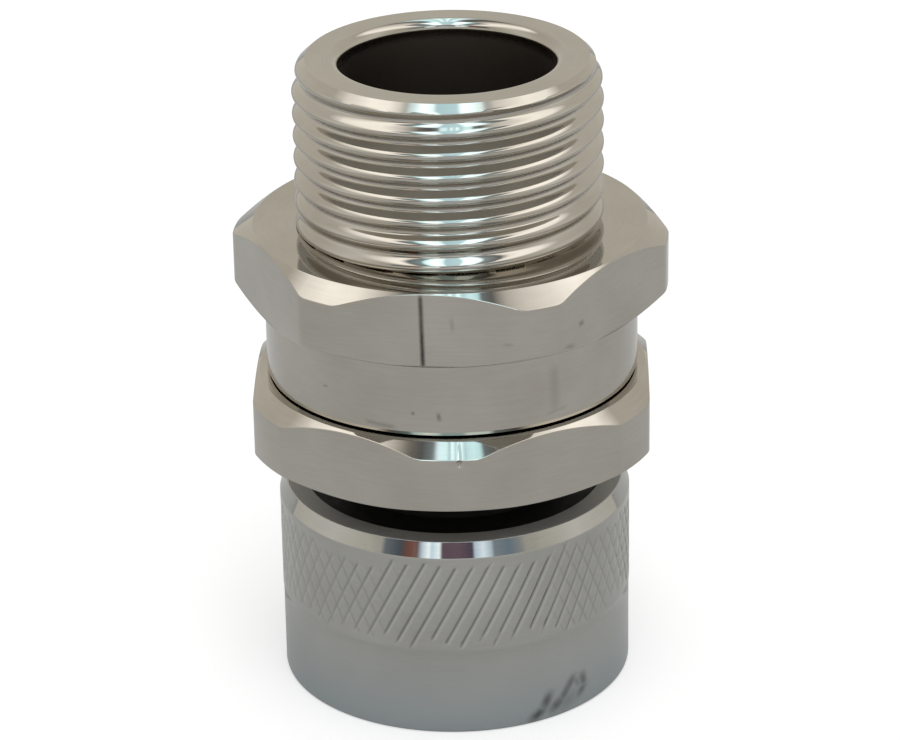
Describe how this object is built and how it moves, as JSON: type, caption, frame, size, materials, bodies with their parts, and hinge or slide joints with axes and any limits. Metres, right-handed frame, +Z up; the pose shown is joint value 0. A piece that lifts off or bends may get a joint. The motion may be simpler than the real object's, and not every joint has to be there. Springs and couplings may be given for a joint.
{
  "type": "swivel pipe connector",
  "caption": "Straight pipe connector with a ball-race swivel: a male threaded body and gland nut turn on a tubular stem that carries a free-turning knurled union collar.",
  "frame": {"origin": "centre of the collar's lower rim, on the surface that the part stands on", "axes": "+Z up along the common axis towards the threaded nipple, -Y towards the side that the picture shows"},
  "size_m": [0.0382, 0.0374, 0.0577],
  "materials": {
    "body_metal": "turned and bright plated, fine brush marks",
    "collar_metal": "turned and bright plated, knurled grip",
    "stem_metal": "fine turned",
    "bearing_steel": "ground and polished",
    "spring_steel": "dark tempered",
    "bronze": "satin turned",
    "black_rubber": "matte",
    "white_polymer": "smooth matte"
  },
  "bodies": {
    "housing": {"male_body": "body_metal", "gland_nut": "body_metal", "seam_ring": "black_rubber", "guide_bush": "bronze", "spring_disc": "spring_steel", "lower_race": "bearing_steel"},
    "cage": {"ball_cage": "bronze", "bearing_balls": "bearing_steel"},
    "stem": {"swivel_stem": "stem_metal", "upper_race": "bearing_steel", "slip_washer": "white_polymer", "lower_backup_ring": "white_polymer", "lower_seal_ring": "black_rubber", "upper_backup_ring": "white_polymer", "upper_seal_ring": "black_rubber", "dust_seal": "black_rubber", "snap_ring": "spring_steel", "upper_collar_washer": "white_polymer", "lower_collar_washer": "white_polymer", "seat_ring": "stem_metal", "pipe_gasket": "black_rubber"},
    "collar": {"knurled_collar": "collar_metal"}
  },
  "joints": [
    {"name": "stem_swivel", "type": "hinge", "parent": "housing", "child": "stem", "pos_m": [0, 0, 0.0305], "axis": [0, 0, 1], "continuous": true},
    {"name": "cage_orbit", "type": "hinge", "parent": "housing", "child": "cage", "pos_m": [0, 0, 0.0305], "axis": [0, 0, 1], "continuous": true},
    {"name": "collar_turn", "type": "hinge", "parent": "stem", "child": "collar", "pos_m": [0, 0, 0.01365], "axis": [0, 0, 1], "continuous": true}
  ],
  "couplings": [
    {"joint": "cage_orbit", "follows": "stem_swivel", "ratio": 0.5}
  ]
}
